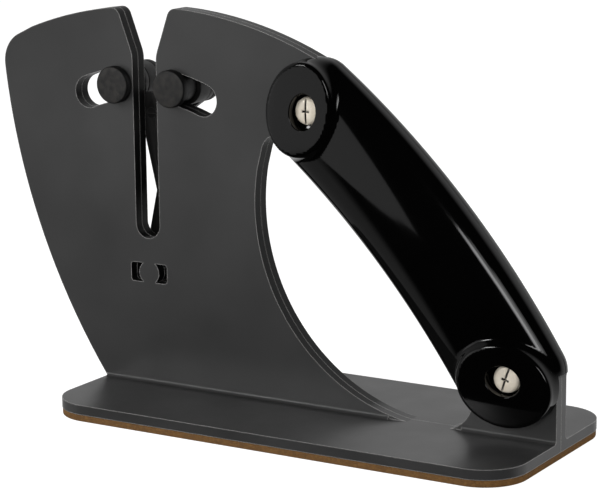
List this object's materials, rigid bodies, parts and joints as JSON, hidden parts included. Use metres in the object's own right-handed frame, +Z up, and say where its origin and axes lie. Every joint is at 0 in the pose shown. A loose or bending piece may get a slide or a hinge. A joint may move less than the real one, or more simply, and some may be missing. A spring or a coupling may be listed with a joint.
{
  "type": "manual pull-through knife sharpener",
  "caption": "Free-standing knife sharpener: a slotted upright plate on a flat foot, spring-loaded crossed arms that carry abrasive strips, two thumb knobs and a bowed side handle.",
  "frame": {"origin": "centre of the flat foot on the underside of the cork pad", "axes": "+X along the foot from the slotted plate towards the handle, +Y from the knob face to the back where the arms sit, +Z up"},
  "size_m": [0.248, 0.091, 0.1571],
  "materials": {
    "cork_base_pad": "fine cork granules, matte",
    "front_body_sheet": "satin dark grey coat",
    "rear_body_sheet": "satin dark grey coat",
    "handle_front_half": "smooth gloss black",
    "handle_rear_half": "smooth gloss black",
    "handle_upper_screw": "bright nickel plate",
    "handle_upper_washer": "plain zinc plate",
    "handle_upper_nut": "bright nickel plate",
    "handle_lower_screw": "bright nickel plate",
    "handle_lower_washer": "plain zinc plate",
    "handle_lower_nut": "bright nickel plate",
    "pivot_stud": "plain zinc plate",
    "pivot_spacer": "plain zinc plate",
    "pivot_washer": "plain zinc plate",
    "pivot_nut": "plain zinc plate",
    "left_spring_post": "plain zinc plate",
    "right_spring_post": "plain zinc plate",
    "left_return_spring": "plain zinc plate",
    "right_return_spring": "plain zinc plate",
    "left_arm": "matte black coat",
    "left_arm_bush": "plain sintered bronze",
    "left_sharpening_strip": "fine abrasive grit on steel",
    "left_strip_upper_screw": "plain zinc plate",
    "left_strip_lower_screw": "plain zinc plate",
    "left_tail_pin": "plain zinc plate",
    "left_front_knob": "matte black",
    "left_knob_post": "matte black",
    "left_knob_barrel": "matte dark grey",
    "left_rear_knob": "matte black",
    "left_knob_screw": "black oxide",
    "right_arm": "matte black coat",
    "right_arm_bush": "plain sintered bronze",
    "right_sharpening_strip": "fine abrasive grit on steel",
    "right_strip_upper_screw": "plain zinc plate",
    "right_strip_lower_screw": "plain zinc plate",
    "right_tail_pin": "plain zinc plate",
    "right_front_knob": "matte black",
    "right_knob_post": "matte black",
    "right_knob_barrel": "matte dark grey",
    "right_rear_knob": "matte black",
    "right_knob_screw": "black oxide"
  },
  "bodies": {
    "body": {"cork_base_pad": "cork_base_pad", "front_body_sheet": "front_body_sheet", "rear_body_sheet": "rear_body_sheet", "handle_front_half": "handle_front_half", "handle_rear_half": "handle_rear_half", "handle_upper_screw": "handle_upper_screw", "handle_upper_washer": "handle_upper_washer", "handle_upper_nut": "handle_upper_nut", "handle_lower_screw": "handle_lower_screw", "handle_lower_washer": "handle_lower_washer", "handle_lower_nut": "handle_lower_nut", "pivot_stud": "pivot_stud", "pivot_spacer": "pivot_spacer", "pivot_washer": "pivot_washer", "pivot_nut": "pivot_nut", "left_spring_post": "left_spring_post", "right_spring_post": "right_spring_post", "left_return_spring": "left_return_spring", "right_return_spring": "right_return_spring"},
    "left_arm": {"left_arm": "left_arm", "left_arm_bush": "left_arm_bush", "left_sharpening_strip": "left_sharpening_strip", "left_strip_upper_screw": "left_strip_upper_screw", "left_strip_lower_screw": "left_strip_lower_screw", "left_tail_pin": "left_tail_pin", "left_front_knob": "left_front_knob", "left_knob_post": "left_knob_post", "left_knob_barrel": "left_knob_barrel", "left_rear_knob": "left_rear_knob", "left_knob_screw": "left_knob_screw"},
    "right_arm": {"right_arm": "right_arm", "right_arm_bush": "right_arm_bush", "right_sharpening_strip": "right_sharpening_strip", "right_strip_upper_screw": "right_strip_upper_screw", "right_strip_lower_screw": "right_strip_lower_screw", "right_tail_pin": "right_tail_pin", "right_front_knob": "right_front_knob", "right_knob_post": "right_knob_post", "right_knob_barrel": "right_knob_barrel", "right_rear_knob": "right_rear_knob", "right_knob_screw": "right_knob_screw"}
  },
  "joints": [
    {"name": "left_arm_swing", "type": "hinge", "parent": "body", "child": "left_arm", "pos_m": [-0.0777, 0, 0.0515], "axis": [0, -1, 0], "range_deg": [0, 10.8], "stiffness_Nm_per_rad": 0.5, "deforming": ["left_return_spring"]},
    {"name": "right_arm_swing", "type": "hinge", "parent": "body", "child": "right_arm", "pos_m": [-0.0777, 0, 0.0515], "axis": [0, 1, 0], "range_deg": [0, 10.8], "stiffness_Nm_per_rad": 0.5, "deforming": ["right_return_spring"]}
  ]
}
